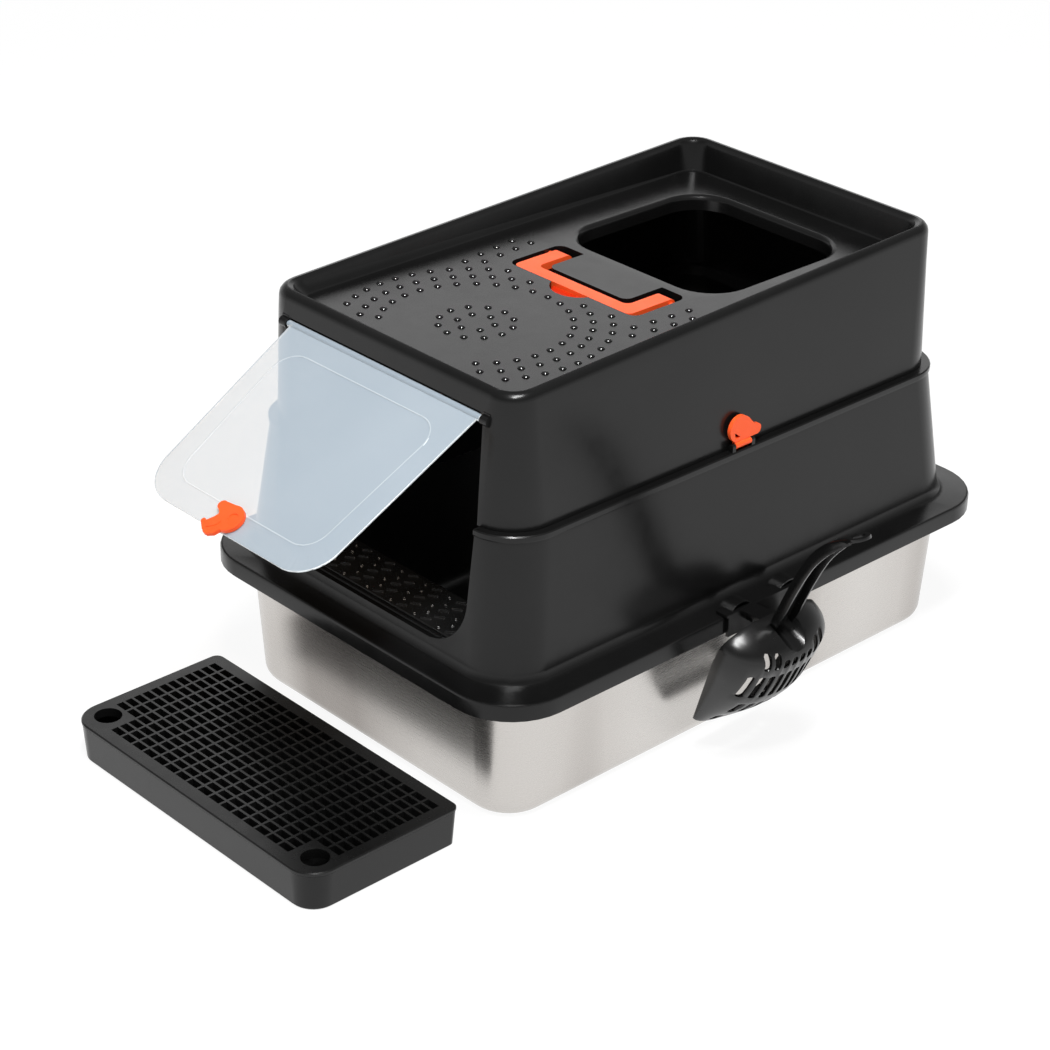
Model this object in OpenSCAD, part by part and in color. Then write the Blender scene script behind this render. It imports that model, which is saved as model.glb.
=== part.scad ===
// Cat litter box: steel pan, entry frame, hood with top hole, flap, latches, scoop and step tray.
// Millimetres. Origin at the centre of the pan's base, +Z up, door towards -Y, scoop towards +X.

/* [Flange and joint] */
// Length of the entry frame's flange, front to back
flange_len = 600; // [580:5:620]
// Width of the entry frame's flange, side to side
flange_w = 402; // [394:2:410]
// Height of the lower edge of the flange's skirt
skirt_z = 116; // [112:1:120]
// Height of the joint between entry frame and hood
joint_z = 256; // [252:1:260]

/* [Hood] */
// Height of the recessed plate on top of the hood
plate_z = 359; // [356:1:362]
// Rise of the rim over the plate at the front
rim_front = 12.5; // [11:0.5:16]
// Rise of the rim over the plate at the back
rim_back = 29.5; // [20:0.5:34]
// Width of the entry hole in the top
hole_w = 182; // [160:2:186]
// Length of the entry hole in the top
hole_len = 174; // [150:2:178]
// Wall thickness of the moulded plastic pieces
wall = 3; // [2.6:0.1:3.2]

/* [Flap] */
// Angle the flap stands open at, from hanging straight down
flap_open = 61; // [0:1:80]
// Length of the flap from its hinge axis to its free edge
flap_len = 186; // [176:1:188]

/* [Step tray] */
// Length of the step tray, across the front
tray_len = 317; // [300:1:330]
// Depth of the step tray, away from the pan
tray_depth = 153.5; // [145:0.5:160]
// Height of the step tray
tray_h = 36.5; // [34:0.5:44]

/* [Scoop] */
// Angle the scoop leans out at, from upright
scoop_lean = 23.6; // [22:0.2:25]
// Length of the scoop's bowl
bowl_len = 116.4; // [112:0.4:118]

/* [Hidden] */

eps = 0.01;
gap = 0.3;         // between pieces that come apart
pin_gap = 0.05;    // radial, between a pin and its socket
corner_steps = 9;  // segments in a quarter turn of a rounded corner

// Flange, as half sizes
fa = flange_w/2;
fb = flange_len/2;
flange_r = 58;
flange_top = skirt_z + 14.7;

// Pan
pan_top = skirt_z + 11.2;
pan_a0 = fa - 33;
pan_b0 = fb - 31.2;
pan_a1 = fa - 27.8;
pan_b1 = fb - 23.4;
pan_r = 38;
pan_round = 13;
pan_t = 0.8;
pan_rim = 12.4;

// Wall of the entry frame: half sizes at the flange and at the joint
frame_a0 = fa - 26.6;
frame_b0 = fb - 23.6;
frame_a1 = fa - 37.6;
frame_b1 = fb - 36;
frame_r = 44;
bead = 1.4;
ledge_a = fa - 50;
ledge_b = fb - 47.2;

// Hood: half sizes at the joint and at the rim
hood_z0 = joint_z + gap;
hood_a0 = fa - 44;
hood_b0 = fb - 41.2;
hood_a1 = fa - 50.4;
hood_b1 = fb - 48;
hood_r0 = 40;
hood_r1 = 26;
crest = plate_z + rim_front;
slope = (rim_back - rim_front)/(2*hood_b1);
crest_r = 7.5;
recess_in = 19;
recess_r = 18;
hole_y = 114;
hole_r = 38;
hole_edge = 5;
hole_lip = 14;

// Door
sill_z = flange_top + 15.3;
door_half = 119.5;
frame_door_half = 122;
door_r = 44;
door_top = plate_z - 7.5;
shelf_y = 64;
sill_ridge = 100;
ridge_y = -(frame_b0 - 9);
ridge_r = 2.4;

// Flap: hinge axis and sizes
hinge_y = -(hood_b1 + 1.5);
hinge_z = plate_z - 12.5;
flap_half = 115;
flap_half_end = 108;
flap_r = 35;
flap_t = 1.8;
flap_rib = 0.5;
line_inset = 21;
line_w = 1.2;
line_r = 22;
barrel_r = 3;
flap_pin_r = 2;
ear_r = 4.3;
latch_d = flap_len - 12.5;
latch_t = 3.4;
dimple = [3.4, 0.6];
dimple_r = 5;

// Handle, flush with the plate when it is folded, and the pocket it lies in
handle_half = 70.5;
handle_y = -48.6;
handle_w = 13.6;
handle_leg = 16;
handle_h = 7;
handle_r = 6;
handle_inner_r = 6.5;
pivot_y = 0.5;
pivot_z = plate_z - 5.2;
pivot_r = 2.4;
barrel_handle = 5;
pocket_depth = 10.6;
pocket_half = 77;
pocket_y0 = -49;
pocket_y1 = 13;
pocket_r = 9;
island_half = 47.5;
island_y = -29.5;
island_r = 8;
notch_r = 25;
notch_y = -38.3;
tab_slope = 7;

// Grip dots
dot_y = -154;
dot_r = 3.3;
dot_h = 2;

// Side latches
side_axis_x = hood_a0 + 4.3;
side_axis_z = joint_z + 4.4;
side_pin_r = 1.6;
side_t = 3.4;
lug_w = 3.8;
lug_y = [-15.4, 7.6];

// Scoop: where its tip hangs, its bowl and its handle
tip_x = 187.5;
tip_y = -31.9;
tip_z = 35;
scoop_wall = 2.2;
bowl_widest = 81.5;
bowl_turn = 97.8;
bowl_u = 116.4;
bowl_stations = [0, 4, 9, 15, 22, 30, 39, 49, 60, 71, bowl_widest, 90, bowl_turn, 101, 104, 106.8, 109.2,
                 111.4, 113.2, 114.6, 115.7, bowl_u];
slot_w = 6;
slot_pitch = 9;
slot_rows = [[5, 17], [28, 47], [58, 87], [95, 109]];
root_u = 121;
root_r = 14.5;
root_n = 5.8;
channel_t = 2;
// Stations of the handle: distance along the scoop, height, tilt, half width, depth of the sides
channel = [[113.6, 6.4, 0, 11.8, 7], [120, 6.4, 0, 12.2, 8], [128, 6, 1, 12.4, 9],
           [136, 5.6, 1, 11, 9.5], [160, 5.6, 1, 11, 9.5], [178.7, 5.9, 3, 11, 10],
           [192.3, 7.2, 8, 11, 10], [202.5, 9.1, 14, 11, 10], [211.9, 11.8, 20, 11, 10],
           [221.2, 15.6, 28, 11, 9.5], [229.7, 20.6, 35, 10.5, 8.5], [236.5, 25.9, 41, 9.5, 7],
           [242.5, 31.5, 46, 9, 5]];
channel_end = [246.7, 35.7];
eye_at = [245, 34];
eye_tilt = 46;
eye_r = 10;
eye_hole = 5.5;

// Scoop holder
holder_z = flange_top + 0.8;
holder_t = 2.4;
holder_y = [-56, 36];
lip_z = 113;
tongue_z = 132;
tongue_t = 3;
tongue_n = 3.4;
tongue_half = 9;

// Step tray
tray_y1 = -(fb + 8.6);
tray_y = tray_y1 - tray_depth/2;
lid_t = 3.3;
tray_rf = 24;
tray_rb = 8;
tray_draft = 3;
finger_r = 11.7;
finger_in = 21.5;
rib_depth = 8;
cell_x = 14.8;
cell_y = 8.7;
bar = 2.2;
tray_border = 10;

// Points of a rounded rectangle in the order that runs anticlockwise from above.
// rf and rb are the corner radii at the front (-Y) and the back; s tilts the ring along Y about y0.
function ring(a, b, rf, rb, z, s = 0, y0 = 0, yc = 0) =
    [for (c = [0:3])
        let (sx = (c == 0 || c == 1) ? 1 : -1)
        let (sy = (c == 1 || c == 2) ? 1 : -1)
        let (r = sy > 0 ? rb : rf)
        for (i = [0:corner_steps])
            let (t = 90*(c - 1) + 90*i/corner_steps)
            let (y = sy*(b - r) + r*sin(t))
            [sx*(a - r) + r*cos(t), y + yc, z + s*(y - y0)]];

function even(a, b, r, z) = ring(a, b, r, r, z);
function tilted(a, b, r, z) = ring(a, b, r, r, z, slope, -hood_b1);

// Solid through a stack of rings that all have the same number of points.
module loft(rings) {
    n = len(rings[0]);
    m = len(rings);
    bottom = [[for (j = [0:n-1]) j]];
    top = [[for (j = [0:n-1]) m*n - 1 - j]];
    sides = [for (i = [0:m-2]) for (j = [0:n-1]) for (h = [0:1])
        let (k = (j + 1) % n)
        h == 0 ? [i*n + j, (i+1)*n + j, (i+1)*n + k] : [i*n + j, (i+1)*n + k, i*n + k]];
    polyhedron(points = [for (r = rings) each r], faces = concat(bottom, sides, top));
}

module round_rect(a, b, r) {
    square([2*a, 2*(b - r)], center = true);
    square([2*(a - r), 2*b], center = true);
    for (x = [-1, 1]) {
        for (y = [-1, 1]) {
            translate([x*(a - r), y*(b - r)]) circle(r = r, $fn = 64);
        }
    }
}

function pan_a(z) = pan_a0 + (pan_a1 - pan_a0)*z/pan_top;
function pan_b(z) = pan_b0 + (pan_b1 - pan_b0)*z/pan_top;

// Rings of the pan's shell, drawn in by the given wall.
function pan_rings(inset) =
    [for (t = [0:15:90])
        let (q = pan_round - inset)
        let (k = inset + q*(1 - sin(t)))
        let (z = inset + q*(1 - cos(t)))
        even(pan_a(z) - k, pan_b(z) - k, pan_r - k, z)];

module steel_pan() {
    color("silver") {
        difference() {
            loft(concat(pan_rings(0), [even(pan_a1, pan_b1, pan_r, pan_top)]));
            loft(concat(pan_rings(pan_t),
                [even(pan_a1 - pan_t, pan_b1 - pan_t, pan_r - pan_t, pan_top + 1)]));
        }
        difference() {
            loft([even(pan_a1 + pan_rim, pan_b1 + pan_rim, pan_r + pan_rim, pan_top - 1.2),
                  even(pan_a1 + pan_rim, pan_b1 + pan_rim, pan_r + pan_rim, pan_top)]);
            loft([even(pan_a1 - 0.5, pan_b1 - 0.5, pan_r - 0.5, pan_top - 3),
                  even(pan_a1 - 0.5, pan_b1 - 0.5, pan_r - 0.5, pan_top + 2)]);
        }
        difference() {
            loft([even(pan_a1 + pan_rim, pan_b1 + pan_rim, pan_r + pan_rim, pan_top - 5),
                  even(pan_a1 + pan_rim, pan_b1 + pan_rim, pan_r + pan_rim, pan_top - 1)]);
            loft([even(pan_a1 + pan_rim - 1, pan_b1 + pan_rim - 1, pan_r + pan_rim - 1, pan_top - 6),
                  even(pan_a1 + pan_rim - 1, pan_b1 + pan_rim - 1, pan_r + pan_rim - 1, pan_top)]);
        }
    }
}

// The door's outline, in X and Z, from the sill up to the given height.
module door_shape(half, top, r_top) {
    translate([-half, sill_z + door_r]) square([2*half, top - sill_z - door_r - r_top]);
    translate([-half + door_r, sill_z]) square([2*(half - door_r), door_r + 1]);
    translate([-half + r_top, top - r_top - 1]) square([2*(half - r_top), r_top + 1]);
    for (x = [-1, 1]) {
        translate([x*(half - door_r), sill_z + door_r]) circle(r = door_r, $fn = 96);
        translate([x*(half - r_top), top - r_top]) circle(r = r_top, $fn = 48);
    }
}

module door_cut(half, top, r_top) {
    translate([0, -fb + 60, 0])
        rotate([90, 0, 0])
            linear_extrude(height = 70) door_shape(half, top, r_top);
}

// Wall of the entry frame: a straight run with draft between flange and joint.
module frame_outer() {
    loft([even(fa, fb, flange_r, skirt_z),
          even(fa, fb, flange_r, flange_top - 2.6),
          even(fa - 0.8, fb - 0.8, flange_r - 0.8, flange_top - 0.8),
          even(fa - 2.6, fb - 2.6, flange_r - 2.6, flange_top),
          even(frame_a0 + 7, frame_b0 + 7, frame_r + 5, flange_top + 0.6),
          even(frame_a0 + 3.4, frame_b0 + 3.4, frame_r + 3, flange_top + 2),
          even(frame_a0 + 1.2, frame_b0 + 1.2, frame_r + 1, flange_top + 4.6),
          even(frame_a0, frame_b0, frame_r, flange_top + 9),
          even(frame_a1, frame_b1, frame_r, joint_z - 6.6),
          even(frame_a1 + bead - 0.3, frame_b1 + bead - 0.3, frame_r + 1, joint_z - 5.8),
          even(frame_a1 + bead, frame_b1 + bead, frame_r + 1, joint_z - 4.6),
          even(frame_a1 + bead, frame_b1 + bead, frame_r + 1, joint_z - 1),
          even(frame_a1 + bead - 1, frame_b1 + bead - 1, frame_r, joint_z)]);
}

module frame_hollow() {
    under = flange_top - wall;
    loft([even(fa - wall, fb - wall, flange_r - wall, skirt_z - 1),
          even(fa - wall, fb - wall, flange_r - wall, under)]);
    loft([even(frame_a0 - wall + 1, frame_b0 - wall + 1, frame_r - wall, under - 1),
          even(frame_a0 - wall, frame_b0 - wall, frame_r - wall, flange_top + 9),
          even(frame_a1 - wall, frame_b1 - wall, frame_r - wall, joint_z - wall)]);
    loft([even(ledge_a, ledge_b, hood_r0 - 6, joint_z - wall - 1),
          even(ledge_a, ledge_b, hood_r0 - 6, joint_z + 1)]);
}

// Lugs on the ledge that carry a side latch, for the right-hand side.
module latch_lugs() {
    socket = side_pin_r + pin_gap;
    difference() {
        for (y = lug_y) {
            translate([side_axis_x - 2.4, y, joint_z - 1]) cube([4.8, lug_w, side_axis_z - joint_z + 1]);
            translate([side_axis_x, y, side_axis_z])
                rotate([-90, 0, 0]) cylinder(r = 2.4, h = lug_w, $fn = 48);
        }
        translate([side_axis_x, lug_y[0] + 1, side_axis_z])
            rotate([-90, 0, 0]) cylinder(r = socket, h = lug_y[1] - lug_y[0] + 1.6, $fn = 48);
    }
}

module entry_frame() {
    shelf_w = 2*frame_door_half + 4;
    shelf_front = frame_b0 - 1.5;
    color("dimgray") {
        difference() {
            frame_outer();
            frame_hollow();
            door_cut(frame_door_half, joint_z + 60, 20);
        }
        // Shelf inside the door, with a lip turned down at its inner edge
        translate([-shelf_w/2, -shelf_front, sill_z - 6]) cube([shelf_w, shelf_y, 3]);
        translate([-shelf_w/2, -shelf_front + shelf_y - 3, sill_z - 18]) cube([shelf_w, 3, 15]);
        // Rounded ridge along the sill, in front of the tread
        translate([-sill_ridge, ridge_y, sill_z - 3])
            rotate([0, 90, 0]) cylinder(r = ridge_r, h = 2*sill_ridge, $fn = 48);
        latch_lugs();
        mirror([1, 0, 0]) latch_lugs();
    }
}

module threshold_tread() {
    w = 212;
    d = 50;
    y0 = ridge_y + ridge_r + 2;
    dash = [9, 2.4, 1.8];
    color("black") {
        translate([-w/2, y0, sill_z - 3 + 0.05]) cube([w, d, 1.6]);
        // Short raised dashes in staggered rows, each turned a little
        for (row = [0:4]) {
            for (k = [0:12]) {
                translate([-w/2 + 13 + k*15 + (row % 2)*6, y0 + 6 + row*9.5, sill_z - 1.6])
                    rotate([0, 0, k % 2 == 0 ? 35 : -35])
                        translate([-dash[0]/2, -dash[1]/2, 0]) cube(dash);
            }
        }
    }
}

module hood_outer() {
    z1 = plate_z - 8;
    f = (z1 - hood_z0)/(crest - hood_z0);
    loft([even(hood_a0, hood_b0, hood_r0, hood_z0),
          even(hood_a0 + f*(hood_a1 - hood_a0), hood_b0 + f*(hood_b1 - hood_b0),
               hood_r0 + f*(hood_r1 - hood_r0), z1),
          tilted(hood_a1, hood_b1, hood_r1, crest - crest_r),
          tilted(hood_a1 - crest_r*0.08, hood_b1 - crest_r*0.08, hood_r1 - 0.5, crest - crest_r*0.62),
          tilted(hood_a1 - crest_r*0.29, hood_b1 - crest_r*0.29, hood_r1 - 1.5, crest - crest_r*0.29),
          tilted(hood_a1 - crest_r*0.62, hood_b1 - crest_r*0.62, hood_r1 - 4, crest - crest_r*0.08),
          tilted(hood_a1 - crest_r, hood_b1 - crest_r, hood_r1 - crest_r, crest)]);
}

module hood_inner() {
    z1 = plate_z - 8;
    f = (z1 - hood_z0)/(crest - hood_z0);
    loft([even(hood_a0 - wall, hood_b0 - wall, hood_r0 - wall, hood_z0 - 1),
          even(hood_a0 - wall + f*(hood_a1 - hood_a0), hood_b0 - wall + f*(hood_b1 - hood_b0),
               hood_r0 - wall + f*(hood_r1 - hood_r0), z1),
          tilted(hood_a1 - wall, hood_b1 - wall, hood_r1 - wall, crest - 5.4),
          tilted(hood_a1 - wall - 1.4, hood_b1 - wall - 1.4, hood_r1 - wall - 1.4, crest - 3.4)]);
}

// The plate and the inner side of the rim, kept solid inside the hood's hollow.
module plate_block() {
    a = hood_a1;
    b = hood_b1;
    loft([even(a - recess_in + 2, b - recess_in + 2, recess_r, plate_z - wall),
          even(a - recess_in + 6, b - recess_in + 6, recess_r + 1, plate_z - wall + 0.9),
          even(a - recess_in + 10, b - recess_in + 10, recess_r + 2, plate_z + 0.6),
          tilted(a - 8.6, b - 8.6, recess_r + 1, crest - 5),
          tilted(a - 8, b - 8, recess_r + 1, crest - 2)]);
}

module recess() {
    a = hood_a1;
    b = hood_b1;
    loft([even(a - recess_in, b - recess_in, recess_r, plate_z),
          even(a - recess_in + 1.5, b - recess_in + 1.5, recess_r, plate_z + 0.4),
          even(a - recess_in + 2.5, b - recess_in + 2.5, recess_r + 0.5, plate_z + 1.3),
          tilted(a - 12, b - 12, recess_r + 1, crest - 5),
          tilted(a - 10.4, b - 10.4, recess_r + 1, crest - 1.5),
          tilted(a - 7.8, b - 7.8, recess_r + 1, crest + 0.05),
          tilted(a - 7.6, b - 7.6, recess_r + 1, crest + 4)]);
}

module hole_cut() {
    a = hole_w/2;
    b = hole_len/2;
    e = hole_edge;
    translate([0, hole_y, plate_z - hole_lip - 4])
        linear_extrude(height = hole_lip + 8) round_rect(a, b, hole_r);
    translate([0, hole_y, 0])
        loft([even(a, b, hole_r, plate_z - e),
              even(a + 0.08*e, b + 0.08*e, hole_r, plate_z - 0.62*e),
              even(a + 0.29*e, b + 0.29*e, hole_r + 1, plate_z - 0.29*e),
              even(a + 0.62*e, b + 0.62*e, hole_r + 2, plate_z - 0.08*e),
              even(a + e, b + e, hole_r + 3, plate_z + eps),
              even(a + e, b + e, hole_r + 3, plate_z + 1)]);
}

// Pocket for the folded handle, with a finger notch in front of its bar.
// The island in the middle keeps the plate whole between the handle's legs.
module handle_pocket() {
    y_mid = (pocket_y0 + pocket_y1)/2;
    y_half = (pocket_y1 - pocket_y0)/2;
    translate([0, 0, plate_z - pocket_depth])
        linear_extrude(height = 20) {
            difference() {
                translate([0, y_mid]) round_rect(pocket_half, y_half, pocket_r);
                translate([0, island_y + 30]) round_rect(island_half, 30, island_r);
            }
            intersection() {
                translate([0, notch_y]) circle(r = notch_r, $fn = 96);
                translate([-notch_r, notch_y - notch_r]) square([2*notch_r, notch_r]);
            }
        }
}

module hinge_ear() {
    translate([door_half, hinge_y, hinge_z])
        rotate([0, 90, 0]) cylinder(r = ear_r, h = 8, $fn = 64);
    translate([door_half, hinge_y, hinge_z - ear_r]) cube([8, 8, 2*ear_r + 2]);
}

module hood() {
    pin = flap_pin_r + pin_gap;
    color("dimgray") {
        difference() {
            union() {
                difference() {
                    hood_outer();
                    difference() {
                        hood_inner();
                        plate_block();
                    }
                    door_cut(door_half, door_top, 5);
                }
                // Turned-down lip round the entry hole
                translate([0, hole_y, plate_z - hole_lip])
                    linear_extrude(height = hole_lip - 1)
                        round_rect(hole_w/2 + wall, hole_len/2 + wall, hole_r + wall);
                // Thick pad under the handle's pocket
                translate([-pocket_half - 6, notch_y - notch_r - 3, plate_z - pocket_depth - 2.8])
                    cube([2*pocket_half + 12, pocket_y1 - notch_y + notch_r + 8, pocket_depth + 1.4]);
                hinge_ear();
                mirror([1, 0, 0]) hinge_ear();
                // Catch under each side latch
                for (x = [-1, 1]) {
                    translate([x*(hood_a0 - 2) - 1.6, -6, joint_z + 17]) cube([3.2, 10, 4]);
                }
            }
            recess();
            hole_cut();
            handle_pocket();
            for (x = [-1, 1]) {
                translate([x*(door_half + 2.9), hinge_y, hinge_z])
                    rotate([0, 90, 0]) cylinder(r = pin, h = 7.4, center = true, $fn = 64);
                translate([x*(pocket_half + 0.5), pivot_y, pivot_z])
                    rotate([0, 90, 0]) cylinder(r = pivot_r + pin_gap, h = 6, center = true, $fn = 64);
            }
        }
        // Spigot that drops inside the entry frame's ledge
        difference() {
            loft([even(ledge_a - 0.5, ledge_b - 0.5, hood_r0 - 6.5, joint_z - 7),
                  even(ledge_a - 0.5, ledge_b - 0.5, hood_r0 - 6.5, joint_z - 1),
                  even(ledge_a - 0.5, ledge_b - 0.5, hood_r0 - 6.5, hood_z0)]);
            loft([even(ledge_a - 0.5 - wall, ledge_b - 0.5 - wall, hood_r0 - 9.5, joint_z - 8),
                  even(ledge_a - 0.5 - wall, ledge_b - 0.5 - wall, hood_r0 - 9.5, hood_z0 + 1)]);
            door_cut(door_half, door_top, 5);
        }
        difference() {
            loft([even(hood_a0 - 1, hood_b0 - 1, hood_r0 - 1, hood_z0),
                  even(hood_a0 - 1, hood_b0 - 1, hood_r0 - 1, hood_z0 + 2.4)]);
            loft([even(ledge_a - 0.5 - wall, ledge_b - 0.5 - wall, hood_r0 - 9.5, hood_z0 - 1),
                  even(ledge_a - 0.5 - wall, ledge_b - 0.5 - wall, hood_r0 - 9.5, hood_z0 + 4)]);
            door_cut(door_half, door_top, 5);
        }
    }
}

// Rings of grip dots: radius, number in the full circle, first angle, limit of |x|.
dot_rings = [[16, 6, 30, 200], [31.5, 12, 0, 200], [80, 30, 6, 200], [95.7, 36, 0, 200],
             [112, 42, 90, 113], [128.5, 48, 90, 105], [145, 54, 90, 106], [161.5, 60, 90, 109],
             [178, 66, 90, 111]];

function dot_free(x, y) =
    y > -218
    && !(abs(x) < pocket_half + 5 && y > pocket_y0 - 4)
    && !(abs(x) < 70 && y > pocket_y0 - 7)
    && !(abs(x) < notch_r + 4 && y > notch_y - notch_r - 4);

module grip_dots() {
    cap_r = (dot_r*dot_r + dot_h*dot_h)/(2*dot_h);
    z0 = plate_z + 0.02;
    color("gray") {
        for (q = dot_rings) {
            for (k = [0:q[1]-1]) {
                t = q[2] + 360*k/q[1];
                x = q[0]*cos(t);
                y = dot_y + q[0]*sin(t);
                if (abs(x) < q[3] && dot_free(x, y)) {
                    translate([x, y, z0])
                        difference() {
                            translate([0, 0, dot_h - cap_r]) sphere(r = cap_r, $fn = 32);
                            translate([-5, -5, -10]) cube([10, 10, 10]);
                        }
                }
            }
        }
    }
}

// Outline of the folded handle from above: a bar and two legs.
module handle_shape() {
    y1 = handle_y + handle_w;
    r = handle_r;
    difference() {
        translate([0, handle_y + 50]) round_rect(handle_half, 50, r);
        translate([0, y1 + 50]) round_rect(handle_half - handle_leg, 50, handle_inner_r);
        translate([-100, pivot_y]) square([200, 200]);
    }
}

module carry_handle() {
    z0 = plate_z - handle_h;
    leg_x = handle_half - handle_leg/2;
    color("orangered") {
        translate([0, 0, z0]) linear_extrude(height = handle_h) handle_shape();
        for (x = [-1, 1]) {
            translate([x*leg_x, pivot_y, pivot_z])
                rotate([0, 90, 0])
                    cylinder(r = barrel_handle, h = handle_leg, center = true, $fn = 64);
            translate([x*(handle_half + 2.6), pivot_y, pivot_z])
                rotate([0, 90, 0]) cylinder(r = pivot_r, h = 12.8, center = true, $fn = 64);
        }
        // Pull tab that slopes down into the finger notch
        intersection() {
            translate([0, notch_y, z0 - 3]) cylinder(r = notch_r - 1.6, h = handle_h + 2, $fn = 96);
            translate([-notch_r, handle_y + 4, z0 + 1])
                rotate([180 + tab_slope, 0, 0]) translate([0, 0, -2.4]) cube([2*notch_r, 30, 2.4]);
        }
    }
}

// Flap outline in its own plane: x across, y down from the hinge axis as negative.
module flap_shape(inset) {
    w0 = flap_half - inset;
    w1 = flap_half_end - inset;
    d = flap_len - inset;
    r = flap_r - inset*0.6;
    polygon([[-w0, -inset], [-w1, -d + r], [-w1 + r, -d], [w1 - r, -d], [w1, -d + r], [w0, -inset]]);
    for (x = [-1, 1]) {
        translate([x*(w1 - r), -d + r]) circle(r = r, $fn = 96);
    }
}

// Quarter circle of points about c, from angle t0.
function quarter(c, r, t0) =
    [for (i = [0:corner_steps]) let (t = t0 + 90*i/corner_steps) c + [r*cos(t), r*sin(t)]];

// Outline drawn in from the flap's edge, with four round corners.
module flap_line(inset, r) {
    w0 = flap_half - inset;
    w1 = flap_half_end - inset;
    y0 = -inset - r;
    y1 = -flap_len + inset + r;
    polygon(concat(quarter([w0 - r, y0], r, 0), quarter([r - w0, y0], r, 90),
                   quarter([r - w1, y1], r, 180), quarter([w1 - r, y1], r, 270)));
}

module in_flap_frame() {
    translate([0, hinge_y, hinge_z]) rotate([-flap_open, 0, 0]) children();
}

module flap() {
    color("lightblue") in_flap_frame() {
        difference() {
            union() {
                translate([0, flap_t/2, 0]) rotate([90, 0, 0])
                    linear_extrude(height = flap_t) flap_shape(0);
                // Raised outline near the edge of the outer face
                translate([0, -flap_t/2 + 0.2, 0]) rotate([90, 0, 0])
                    linear_extrude(height = flap_rib + 0.2)
                        difference() {
                            flap_line(line_inset, line_r);
                            flap_line(line_inset + line_w, line_r - line_w);
                        }
                rotate([0, 90, 0])
                    cylinder(r = barrel_r, h = 2*(door_half - 1.6), center = true, $fn = 64);
                rotate([0, 90, 0])
                    cylinder(r = flap_pin_r, h = 2*(door_half + 5.6), center = true, $fn = 64);
            }
            translate([0, 0, -latch_d])
                rotate([90, 0, 0]) cylinder(r = 3 + pin_gap, h = 10, center = true, $fn = 64);
        }
    }
}

// Outline of a turning latch: round body, small ear and hooked arm.
module paw_shape() {
    circle(r = 12.4, $fn = 96);
    translate([-16, 6.4]) circle(r = 4.4, $fn = 48);
    polygon([[-18, 10.3], [-3, 11.8], [-10, -6], [-13, 0], [-20, 4.4]]);
    polygon([[-12.4, -2], [-13.5, -5], [-17.4, -11], [-21, -10.2], [-21.6, -13.4], [-13.8, -19],
             [-7, -20.8], [-1.6, -17.6], [1, -12.2], [6, -8]]);
    translate([-19.6, -12]) circle(r = 2, $fn = 32);
    translate([-9.6, -17.4]) circle(r = 3.4, $fn = 48);
}

// Part of a ring that follows the hooked arm.
module ridge_shape() {
    intersection() {
        translate([-18.5, 0]) difference() {
            circle(r = 17, $fn = 96);
            circle(r = 15.6, $fn = 96);
        }
        translate([-12.6, -15.6]) square([8.6, 9.6]);
    }
}

module flap_latch() {
    front = flap_t/2 + flap_rib + gap;
    behind = flap_t/2 + gap;
    disc_t = 1.6;
    color("orangered") in_flap_frame() translate([0, 0, -latch_d]) {
        difference() {
            translate([0, -front, 0]) rotate([90, 0, 0])
                linear_extrude(height = latch_t) paw_shape();
            // Round dimple in the head
            translate([dimple[0], -front - latch_t + 0.7, dimple[1]]) rotate([90, 0, 0])
                cylinder(r = dimple_r, h = 2, $fn = 64);
        }
        // Curved ridge along the arm
        translate([0, -front - latch_t + 0.2, 0]) rotate([90, 0, 0])
            linear_extrude(height = 0.8) ridge_shape();
        translate([0, behind + disc_t, 0]) rotate([90, 0, 0])
            cylinder(r = 3, h = behind + disc_t + front + 0.6, $fn = 64);
        translate([0, behind + disc_t, 0]) rotate([90, 0, 0])
            cylinder(r = 5.5, h = disc_t, $fn = 64);
    }
}

// Outline of a side latch in Y and Z, measured from its hinge axis.
module side_latch_shape() {
    difference() {
        union() {
            translate([-5.5, 14]) circle(r = 12, $fn = 96);
            translate([15, 8]) circle(r = 4.8, $fn = 64);
            polygon([[0, 24.6], [4.3, 22.1], [8.1, 17.7], [11.8, 14.1], [17, 12.2], [15, 3.2],
                     [4.5, 3.2], [-6, 2]]);
            polygon([[-11, 3.3], [-11, 0.9], [-9.4, -0.8], [3.7, -0.8], [5.1, 0.4], [4.5, 3.4]]);
        }
        polygon([[-11.9, 12.3], [-4.9, 6.6], [-11, 6.2]]);
    }
}

module side_latch() {
    translate([side_axis_x, 0, side_axis_z]) {
        translate([0.6 - side_t, 0, 0])
            rotate([90, 0, 90]) linear_extrude(height = side_t) side_latch_shape();
        translate([0, -11.2, 0]) rotate([-90, 0, 0]) cylinder(r = 2.8, h = 18.4, $fn = 64);
        translate([0, lug_y[0] + 1.2, 0]) rotate([-90, 0, 0])
            cylinder(r = side_pin_r, h = lug_y[1] - lug_y[0] + 1.2, $fn = 48);
    }
}

module side_latch_right() {
    color("orangered") side_latch();
}

module side_latch_left() {
    color("orangered") mirror([1, 0, 0]) side_latch();
}

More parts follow.
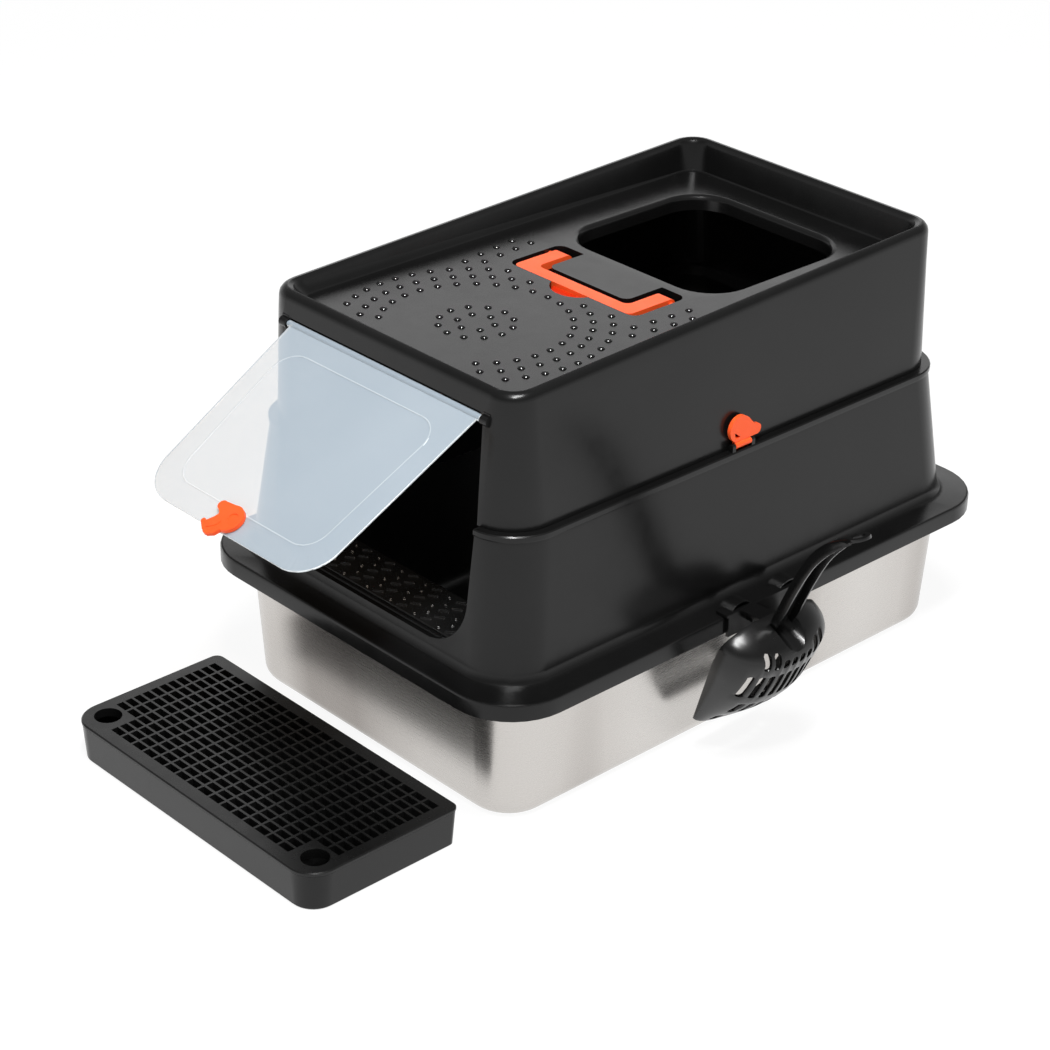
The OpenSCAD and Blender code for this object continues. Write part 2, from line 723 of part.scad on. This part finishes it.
// Bracket that clips over the flange's right-hand edge and carries the scoop.
module scoop_holder() {
    outer = fa + gap;
    across = holder_y[1] - holder_y[0];
    clip_y = [-49, 10];
    clip_w = 27;
    clip_h = 7;
    clip_t = 1.6;
    clip_r = (clip_w*clip_w/4 + clip_h*clip_h)/(2*clip_h);
    tongue_x = tip_x + (tongue_n + (tongue_z - tip_z)*sin(scoop_lean))/cos(scoop_lean);
    color("dimgray") {
        translate([fa - 10, holder_y[0], holder_z]) cube([10 + gap + wall, across, holder_t]);
        translate([outer, holder_y[0] + 2, lip_z]) cube([wall, across - 30, holder_z - lip_z + 1]);
        // Arched clips that stand on the plate over the flange's edge
        for (y = clip_y) {
            intersection() {
                difference() {
                    translate([fa - 14, y + clip_w/2, holder_z + clip_h - clip_r])
                        rotate([0, 90, 0]) cylinder(r = clip_r, h = 14, $fn = 96);
                    intersection() {
                        translate([fa - 15, y + clip_w/2, holder_z + clip_h - clip_r])
                            rotate([0, 90, 0]) cylinder(r = clip_r - clip_t, h = 30, $fn = 96);
                        translate([fa - 20, y, holder_z + holder_t]) cube([40, clip_w, clip_h]);
                    }
                }
                translate([fa - 20, y, holder_z]) cube([40, clip_w, clip_h + 1]);
            }
        }
        // Tongue that the scoop's root hangs on
        translate([outer + wall - 1, tip_y - tongue_half, tongue_z])
            cube([tongue_x - outer - wall + 1, 2*tongue_half, tongue_t]);
        translate([outer + wall - 1, tip_y - 1.5, tongue_z - 9]) cube([9, 3, 10]);
    }
}

// Half width and depth of the scoop's bowl, and how its rear end closes, along its length u.
function bowl_w(u) = 42 + 15*min(1, u/bowl_widest);
function bowl_d(u) = 11.6 + 29.1*sin(90*min(1, u/70));
function bowl_end(u) = sqrt(1 - 0.8*pow(max(0, (u - bowl_turn)/(bowl_u - bowl_turn)), 2));

// Half-round cross-section, open side at z = 0.
function bowl_ring(u, hw, d) =
    [for (i = [0:24])
        let (t = 7.5*i)
        let (c = cos(t))
        [u, sign(c)*hw*pow(abs(c), 0.9), d*pow(abs(sin(t)), 0.9)]];

// The bowl's outer shape, drawn in by e on every side.
module bowl(e) {
    k = (bowl_len - 2*e)/bowl_u;
    loft(concat([bowl_ring(e - 2*k, 38.5 - e, 5 - e)],
        [for (u = bowl_stations)
            bowl_ring(e + u*k, bowl_w(u)*bowl_end(u) - e, bowl_d(u)*bowl_end(u) - e)]));
}

// Slot with cut corners from u0 to u1.
module slot(u0, u1) {
    h = slot_w/2;
    c = 1.6;
    linear_extrude(height = 60)
        polygon([[u0, -h + c], [u0 + c, -h], [u1 - c, -h], [u1, -h + c], [u1, h - c], [u1 - c, h],
                 [u0 + c, h], [u0, h - c]]);
}

module scoop_slots() {
    for (q = slot_rows) {
        for (k = [-4.5:4.5]) {
            w = k*slot_pitch;
            by_root = abs(w) < 18 && q[1] > 100;
            if (abs(w) + slot_w/2 < 0.83*bowl_w(q[0])*bowl_end(q[1])) {
                translate([0, w, 2]) slot(q[0], by_root ? root_u - root_r - 3 : q[1]);
            }
        }
    }
}

// One point of a station's cross-section: across the handle, and away from its web.
function station_point(q, p) = [q[0] - p[1]*sin(q[2]), p[0], q[1] + p[1]*cos(q[2])];

// Outside of the handle's channel at one station, with rounded corners, and the groove in it.
function channel_outer(q) =
    let (a = q[3], f = q[4], r = 1.4)
    [for (p = [[-a + r, 0], [a - r, 0], [a - 0.4*r, 0.4*r], [a, r], [a, f], [-a, f], [-a, r],
               [-a + 0.4*r, 0.4*r]])
        station_point(q, p)];

function channel_groove(q) =
    let (a = q[3] - channel_t, f = q[4] + 1)
    [for (p = [[-a, channel_t], [a, channel_t], [a, f], [-a, f]]) station_point(q, p)];

module scoop_handle() {
    first = channel[0];
    difference() {
        union() {
            difference() {
                loft([for (q = channel) channel_outer(q)]);
                loft(concat([channel_groove([first[0] - 1, first[1], first[2], first[3], first[4]])],
                    [for (q = channel) channel_groove(q)],
                    [channel_groove([channel_end[0], channel_end[1], eye_tilt, 9, 5])]));
            }
            translate([eye_at[0], 0, eye_at[1]])
                rotate([0, -eye_tilt, 0]) translate([0, 0, -0.3]) cylinder(r = eye_r, h = 2.7, $fn = 64);
        }
        translate([eye_at[0], 0, eye_at[1]])
            rotate([0, -eye_tilt, 0])
                cylinder(r = eye_hole, h = 20, center = true, $fn = 64);
    }
}

module scoop() {
    color("dimgray")
        translate([tip_x, tip_y, tip_z]) rotate([180, scoop_lean - 90, 0]) {
            difference() {
                bowl(0);
                // Hollow of the bowl, less the round pocket that the handle springs from
                difference() {
                    translate([0, 0, -0.5]) bowl(scoop_wall);
                    translate([root_u, 0, root_n]) cylinder(r = root_r + 2, h = 60, $fn = 96);
                }
                translate([root_u, 0, root_n + scoop_wall]) cylinder(r = root_r, h = 60, $fn = 96);
                scoop_slots();
            }
            scoop_handle();
        }
}

// One ring of the step tray, drawn in by k at height z.
function tray_ring(k, z) =
    ring(tray_len/2 - k, tray_depth/2 - k, max(tray_rf - k, 3), max(tray_rb - k, 3), z, 0, 0, tray_y);

module step_tray() {
    top = tray_h - lid_t - gap;
    color("dimgray")
        difference() {
            loft([tray_ring(tray_draft + 1.6, 0),
                  tray_ring(tray_draft, 1.6),
                  tray_ring(0.6, top)]);
            loft([tray_ring(tray_draft + wall, wall),
                  tray_ring(0.6 + wall, top + 1)]);
        }
}

module finger_holes(r, z0, h) {
    for (x = [-1, 1]) {
        translate([x*(tray_len/2 - finger_in), tray_y - tray_depth/2 + finger_in + 2, z0])
            cylinder(r = r, h = h, $fn = 96);
    }
}

module step_grid() {
    z0 = tray_h - lid_t;
    nx = floor((tray_len - 2*tray_border)/cell_x);
    ny = floor((tray_depth - 2*tray_border + bar)/cell_y);
    hx = tray_len/2 - finger_in;
    hy = -tray_depth/2 + finger_in + 2;
    color("black")
        difference() {
            union() {
                loft([tray_ring(0.4, z0),
                      tray_ring(0, z0 + 0.5),
                      tray_ring(0, tray_h - 1),
                      tray_ring(1, tray_h)]);
                loft([tray_ring(wall + 2.2, tray_h - rib_depth),
                      tray_ring(wall + 2.2, z0 + 1)]);
            }
            for (i = [0:nx-1]) {
                for (j = [0:ny-1]) {
                    x = (i - (nx - 1)/2)*cell_x;
                    y = (j - (ny - 1)/2)*cell_y;
                    far = norm([max(abs(abs(x) - hx) - 5, 0), max(abs(y - hy) - 2.5, 0)]);
                    if (far > finger_r + 2.4) {
                        translate([x - (cell_x - bar)/2, tray_y + y - (cell_y - bar)/2, 0])
                            cube([cell_x - bar, cell_y - bar, tray_h + 5]);
                    }
                }
            }
            finger_holes(finger_r, 0, tray_h + 5);
        }
}

steel_pan();
entry_frame();
threshold_tread();
hood();
grip_dots();
carry_handle();
flap();
flap_latch();
side_latch_right();
side_latch_left();
scoop_holder();
scoop();
step_tray();
step_grid();
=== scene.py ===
import math

import bmesh
import bpy
from mathutils import Matrix, Vector

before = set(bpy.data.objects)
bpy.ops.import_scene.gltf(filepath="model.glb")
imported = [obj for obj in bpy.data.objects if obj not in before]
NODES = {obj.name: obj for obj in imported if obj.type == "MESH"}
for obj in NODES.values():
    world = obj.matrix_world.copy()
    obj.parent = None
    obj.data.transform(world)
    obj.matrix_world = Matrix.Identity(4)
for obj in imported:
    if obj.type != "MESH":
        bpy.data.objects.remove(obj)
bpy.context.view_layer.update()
scene = bpy.context.scene

# ---------------------------------------------------------------- camera
# The photograph's viewing angle, in a frame with the pan's base at the origin
AZIMUTH = math.radians(45.127)
ELEVATION = math.radians(26.291)
ROLL = math.radians(1.792)
AIM_HEIGHT = 0.2
AIM_RIGHT = -0.0019
DISTANCE = 2.4278
SENSOR_MM = 36.0
LENS_MM = 95.11
LENS_SHIFT = (-0.0753, -0.0791)
CLIP_END = 50


def camera_place():
    """Where the camera stands and which way it is turned, as one matrix."""
    back = Vector((math.sin(AZIMUTH) * math.cos(ELEVATION),
                   -math.cos(AZIMUTH) * math.cos(ELEVATION),
                   math.sin(ELEVATION)))
    right = Vector((math.cos(AZIMUTH), math.sin(AZIMUTH), 0.0))
    up = back.cross(right)
    right_rolled = right * math.cos(ROLL) + up * math.sin(ROLL)
    up_rolled = up * math.cos(ROLL) - right * math.sin(ROLL)
    place = Matrix((right_rolled, up_rolled, back)).transposed().to_4x4()
    aim = Vector((0, 0, AIM_HEIGHT)) + AIM_RIGHT * right
    place.translation = aim + back * DISTANCE
    return place


def add_camera():
    lens = bpy.data.cameras.new("camera")
    lens.sensor_width = SENSOR_MM
    lens.lens = LENS_MM
    lens.shift_x, lens.shift_y = LENS_SHIFT
    lens.clip_end = CLIP_END
    camera = bpy.data.objects.new("camera", lens)
    camera.matrix_world = camera_place()
    scene.collection.objects.link(camera)
    scene.camera = camera


add_camera()

# ---------------------------------------------------------------- shader helpers
# A noise stays between these two values nearly everywhere
NOISE_LOW, NOISE_HIGH = 0.3, 0.7


def new_mat(name):
    m = bpy.data.materials.new(name)
    m.use_nodes = True
    nt = m.node_tree
    return m, nt, nt.nodes["Principled BSDF"]


def node(nt, kind, **values):
    """Adds a node. A value named in_Some_Name goes on its input "Some Name"."""
    n = nt.nodes.new(kind)
    for k, v in values.items():
        if k.startswith("in_"):
            n.inputs[k[3:].replace("_", " ")].default_value = v
        else:
            setattr(n, k, v)
    return n


def coords(nt, scale=(1, 1, 1)):
    tc = node(nt, "ShaderNodeTexCoord")
    mp = node(nt, "ShaderNodeMapping")
    mp.inputs["Scale"].default_value = scale
    nt.links.new(tc.outputs["Object"], mp.inputs["Vector"])
    return mp.outputs["Vector"]


def noise(nt, vector, **values):
    n = node(nt, "ShaderNodeTexNoise", **values)
    nt.links.new(vector, n.inputs["Vector"])
    return n.outputs["Fac"]


def ramp(nt, fac, stops):
    r = node(nt, "ShaderNodeValToRGB")
    els = r.color_ramp.elements
    while len(els) < len(stops):
        els.new(0.5)
    for e, (place, color) in zip(els, stops):
        e.position = place
        e.color = (*color, 1)
    nt.links.new(fac, r.inputs["Fac"])
    return r.outputs["Color"]


def between(nt, fac, low, high):
    return ramp(nt, fac, [(NOISE_LOW, low), (NOISE_HIGH, high)])


def relief(nt, b, height, strength, depth):
    bump = node(nt, "ShaderNodeBump", in_Strength=strength, in_Distance=depth)
    nt.links.new(height, bump.inputs["Height"])
    nt.links.new(bump.outputs["Normal"], b.inputs["Normal"])


def grey(v):
    return (v, v, v)


# ---------------------------------------------------------------- plastics
GRAIN_DEPTH = 0.0004
SUBSURFACE = 0.15
SUBSURFACE_RADIUS = (0.004, 0.0012, 0.0005)


def plastic(name, dark, light, rough, spec, grain, grain_scale=900):
    """Moulded plastic: slow tone change, an uneven gloss and a fine grain in relief."""
    m, nt, b = new_mat(name)
    v = coords(nt)
    slow = noise(nt, v, in_Scale=9.0, in_Detail=3.0)
    nt.links.new(between(nt, slow, dark, light), b.inputs["Base Color"])
    mid = noise(nt, v, in_Scale=55.0, in_Detail=6.0, in_Roughness=0.6)
    uneven = between(nt, mid, grey(rough[0]), grey(rough[1]))
    nt.links.new(uneven, b.inputs["Roughness"])
    fine = noise(nt, v, in_Scale=grain_scale, in_Detail=2.0)
    relief(nt, b, fine, grain, GRAIN_DEPTH)
    b.inputs["Specular IOR Level"].default_value = spec
    return m


def orange_plastic(name, dark, light, rough, spec):
    """Orange plastic that lets a little light in below its surface."""
    m = plastic(name, dark, light, rough, spec, grain=0.02)
    b = m.node_tree.nodes["Principled BSDF"]
    b.inputs["Subsurface Weight"].default_value = SUBSURFACE
    b.inputs["Subsurface Radius"].default_value = SUBSURFACE_RADIUS
    return m


black = plastic("black_satin", grey(0.0035), grey(0.006),
                rough=(0.21, 0.27), spec=0.31, grain=0.010)
black_grid = plastic("black_grid", grey(0.005), grey(0.009),
                     rough=(0.24, 0.32), spec=0.36, grain=0.02)
dot_gloss = plastic("black_dots", grey(0.003), grey(0.005),
                    rough=(0.06, 0.10), spec=0.8, grain=0.005)
scoop_mat = plastic("black_scoop", grey(0.003), grey(0.005),
                    rough=(0.20, 0.28), spec=0.42, grain=0.01)
tread_mat = plastic("tread_black", grey(0.005), grey(0.010),
                    rough=(0.24, 0.32), spec=0.9, grain=0.03, grain_scale=500)
orange = orange_plastic("orange_moulded", (0.90, 0.090, 0.016),
                        (0.98, 0.118, 0.026), rough=(0.30, 0.40), spec=0.22)
# Painted shade: a darker copy of the orange for the pull tab, standing in for the shadow
# in its notch
orange_painted_shade = orange_plastic("orange_shaded", (0.50, 0.018, 0.002),
                             (0.58, 0.026, 0.004), rough=(0.34, 0.44), spec=0.2)

# ---------------------------------------------------------------- steel
BRUSH_STRETCH = (1, 1, 45)
STREAK_STRETCH = (1, 1, 0.12)
STREAK_STOPS = (0.34, 0.46, 0.7)
BRUSH_RELIEF = 0.012
BRUSH_DEPTH = 0.0003


def steel_mat(name, tones, rough):
    """Satin steel: fine brushing along the walls, soft darker streaks up them."""
    m, nt, b = new_mat(name)
    b.inputs["Metallic"].default_value = 1.0
    brush = noise(nt, coords(nt, BRUSH_STRETCH),
                  in_Scale=40.0, in_Detail=8.0, in_Roughness=0.65)
    streak = noise(nt, coords(nt, STREAK_STRETCH), in_Scale=5.0, in_Detail=1.0)
    tone = ramp(nt, streak, list(zip(STREAK_STOPS, tones)))
    nt.links.new(tone, b.inputs["Base Color"])
    uneven = between(nt, brush, grey(rough[0]), grey(rough[1]))
    nt.links.new(uneven, b.inputs["Roughness"])
    relief(nt, b, brush, BRUSH_RELIEF, BRUSH_DEPTH)
    return m


steel = steel_mat("brushed_steel",
                  ((0.36, 0.335, 0.315), (0.57, 0.545, 0.52), (0.67, 0.65, 0.625)),
                  rough=(0.24, 0.30))
# Painted shade: a much darker, rougher copy of the steel for the pan's inside, standing
# in for the shadow there
steel_painted_shade = steel_mat("steel_painted_shade", (grey(0.12), grey(0.17), grey(0.22)),
                         rough=(0.35, 0.45))

# ---------------------------------------------------------------- clear plastic
CLEAR_TINT = (1.0, 0.90, 0.80, 1)
SCUFF_ROUGH = (grey(0.16), grey(0.24))


def flap_mat(name, solid, low, high):
    """Clear, slightly milky plastic: the share solid scatters light, the rest passes."""
    m, nt, b = new_mat(name)
    v = coords(nt)
    cloud = noise(nt, v, in_Scale=14.0, in_Detail=4.0)
    nt.links.new(between(nt, cloud, low, high), b.inputs["Base Color"])
    scuff = noise(nt, v, in_Scale=120.0, in_Detail=5.0)
    nt.links.new(between(nt, scuff, *SCUFF_ROUGH), b.inputs["Roughness"])
    b.inputs["Specular IOR Level"].default_value = 0.5
    clear = node(nt, "ShaderNodeBsdfTransparent", in_Color=CLEAR_TINT)
    mix = node(nt, "ShaderNodeMixShader", in_Fac=solid)
    nt.links.new(clear.outputs[0], mix.inputs[1])
    nt.links.new(b.outputs[0], mix.inputs[2])
    nt.links.new(mix.outputs[0], nt.nodes["Material Output"].inputs["Surface"])
    return m


clear_flap = flap_mat("clear_flap", 0.42, (0.56, 0.68, 0.80), (0.59, 0.71, 0.83))
# Painted highlight: a paler, more solid copy of the flap material for its thin sides,
# standing in for light gathered there
flap_edge_painted_highlight = flap_mat("flap_edge_painted_highlight", 0.85, (0.86, 0.92, 0.95), (0.92, 0.96, 0.98))
flap_line = flap_mat("flap_line", 0.52, (0.66, 0.76, 0.85), (0.69, 0.79, 0.88))

# ---------------------------------------------------------------- the CAD nodes
WELD_DISTANCE = 0.00002
NORMAL_WEIGHT = 60


def add_bevel(o, width, angle, segments):
    b = o.modifiers.new("bevel", "BEVEL")
    b.width = width
    b.segments = segments
    b.limit_method = "ANGLE"
    b.angle_limit = math.radians(angle)
    b.use_clamp_overlap = True


def dress(name, mat, bevel=0.0, angle=28, segments=2, split=0):
    """Gives a CAD node its material and soft edges; its mesh is left as it is.

    Where split is an angle, edges sharper than it stay hard.
    """
    o = NODES[name]
    o.data.materials.clear()
    o.data.materials.append(mat)
    for p in o.data.polygons:
        p.use_smooth = True
        p.material_index = 0
    o.modifiers.new("weld", "WELD").merge_threshold = WELD_DISTANCE
    if bevel:
        add_bevel(o, bevel, angle, segments)
    if split:
        o.modifiers.new("split", "EDGE_SPLIT").split_angle = math.radians(split)
        return
    n = o.modifiers.new("normals", "WEIGHTED_NORMAL")
    n.keep_sharp = True
    n.weight = NORMAL_WEIGHT


def two_tone(name, second, chosen):
    """Gives the faces that chosen() picks, by centre and normal, one more material."""
    o = NODES[name]
    o.data.materials.append(second)
    last = len(o.data.materials) - 1
    for p in o.data.polygons:
        if chosen(p.center, p.normal):
            p.material_index = last


dress("steel_pan", steel)
dress("entry_frame", black, bevel=0.0007)
dress("threshold_tread", tread_mat, bevel=0.0007, segments=3)
dress("hood", black, bevel=0.0007)
dress("grip_dots", dot_gloss)
dress("carry_handle", orange, bevel=0.0014, segments=3)
dress("flap", clear_flap)
for latch in ("flap_latch", "side_latch_right", "side_latch_left"):
    dress(latch, orange, bevel=0.0008)
dress("scoop_holder", black, bevel=0.0009, segments=3)
dress("scoop", scoop_mat, bevel=0.0006, angle=45, split=40)
dress("step_tray", black, bevel=0.0007)
dress("step_grid", black_grid, bevel=0.0004)

# ---------------------------------------------------------------- further tones
PAN_FLOOR_TOP = 0.1
PAN_FLOOR_SLOPE = 0.3
TAB_FRONT = -0.0487
TAB_TOP = 0.3575
FLAP_ANGLE = math.radians(61)
FLAP_NORMAL = Vector((0, -math.cos(FLAP_ANGLE), math.sin(FLAP_ANGLE)))
FLAP_DOWN = Vector((0, -math.sin(FLAP_ANGLE), -math.cos(FLAP_ANGLE)))
FLAP_HINGE = Vector((0, -0.2535, 0.3465))
FLAP_LENGTH = 0.186
FLAP_HALF_WIDTH = 0.108
FLAP_BORDER = 0.015
HINGE_BAND = 0.01
SHEET_TOP = 0.00115
HALF_TURNED = 0.5


def pan_inside(c, n):
    """The pan's inner walls and its floor, which get the darker steel as painted shade
    for the shadow inside the pan.
    """
    wall = n.x * c.x + n.y * c.y < 0
    return wall or (n.z > PAN_FLOOR_SLOPE and c.z < PAN_FLOOR_TOP)


def pull_tab(c, n):
    """The handle's pull tab, which lies deep in its notch and gets the darker orange as
    painted shade.
    """
    return c.y < TAB_FRONT and c.z < TAB_TOP


def flap_sides(c, n):
    """The flap's thin outer sides, which get the paler copy as a painted highlight for
    the light they gather.
    """
    inner = ((c - FLAP_HINGE).dot(FLAP_DOWN) < FLAP_LENGTH - FLAP_BORDER
             and abs(c.x) < FLAP_HALF_WIDTH - FLAP_BORDER)
    return abs(n.dot(FLAP_NORMAL)) < HALF_TURNED and not inner


def flap_outline(c, n):
    """The flap's raised outline, which shows as a soft pale line."""
    raised = (c - FLAP_HINGE).dot(FLAP_NORMAL) > SHEET_TOP
    off_hinge = (c - FLAP_HINGE).dot(FLAP_DOWN) > HINGE_BAND
    return raised and off_hinge and n.dot(FLAP_NORMAL) > HALF_TURNED


two_tone("steel_pan", steel_painted_shade, pan_inside)
two_tone("carry_handle", orange_painted_shade, pull_tab)
two_tone("flap", flap_edge_painted_highlight, flap_sides)
two_tone("flap", flap_line, flap_outline)

# ---------------------------------------------------------------- floor and light
FLOOR_HALF = 14
FLOOR_GREY = (0.14, 0.14, 0.14, 1)
FLOOR_ROUGH = 0.8
FLOOR_GLOW = 0.90
# Soft studio surround: bright up to just above the horizon, dimmer overhead
SKY_STOPS = [(0.10, grey(1.0)), (0.42, grey(0.34)), (1.0, grey(0.40))]
SKY_STRENGTH = 0.78
# Name, place, target, width and depth, watts
LIGHTS = [
    ("key_top", (0.7, -0.5, 2.4), (0, 0, 0.2), (0.7, 0.7), 48),
    ("spark", (0.9, -1.0, 2.2), (0, 0, 0.3), (0.20, 0.20), 20),
    ("back_soft", (-2.6, 2.6, 2.0), (0, 0, 0.35), (3.0, 1.6), 16),
]


def floor_material():
    m, _, b = new_mat("floor_pale")
    b.inputs["Base Color"].default_value = FLOOR_GREY
    b.inputs["Roughness"].default_value = FLOOR_ROUGH
    b.inputs["Specular IOR Level"].default_value = 0.0
    b.inputs["Emission Color"].default_value = (1, 1, 1, 1)
    b.inputs["Emission Strength"].default_value = FLOOR_GLOW
    return m


def add_floor():
    mesh = bpy.data.meshes.new("floor")
    bm = bmesh.new()
    bmesh.ops.create_grid(bm, x_segments=1, y_segments=1, size=FLOOR_HALF)
    bm.to_mesh(mesh)
    bm.free()
    mesh.materials.append(floor_material())
    floor = bpy.data.objects.new("floor", mesh)
    scene.collection.objects.link(floor)


def add_world():
    world = bpy.data.worlds.new("world")
    scene.world = world
    world.use_nodes = True
    sky = world.node_tree
    height = node(sky, "ShaderNodeSeparateXYZ")
    direction = node(sky, "ShaderNodeTexCoord").outputs["Generated"]
    sky.links.new(direction, height.inputs[0])
    background = sky.nodes["Background"]
    sky.links.new(ramp(sky, height.outputs["Z"], SKY_STOPS),
                  background.inputs["Color"])
    background.inputs["Strength"].default_value = SKY_STRENGTH


def add_area(name, at, target, size, watts):
    data = bpy.data.lights.new(name, "AREA")
    data.shape = "RECTANGLE"
    data.size, data.size_y = size
    data.energy = watts
    o = bpy.data.objects.new(name, data)
    o.location = at
    o.rotation_mode = "QUATERNION"
    toward = Vector(target) - Vector(at)
    o.rotation_quaternion = toward.to_track_quat("-Z", "Y")
    scene.collection.objects.link(o)


add_floor()
add_world()
for light in LIGHTS:
    add_area(*light)

scene.view_settings.view_transform = "Standard"
scene.view_settings.look = "None"
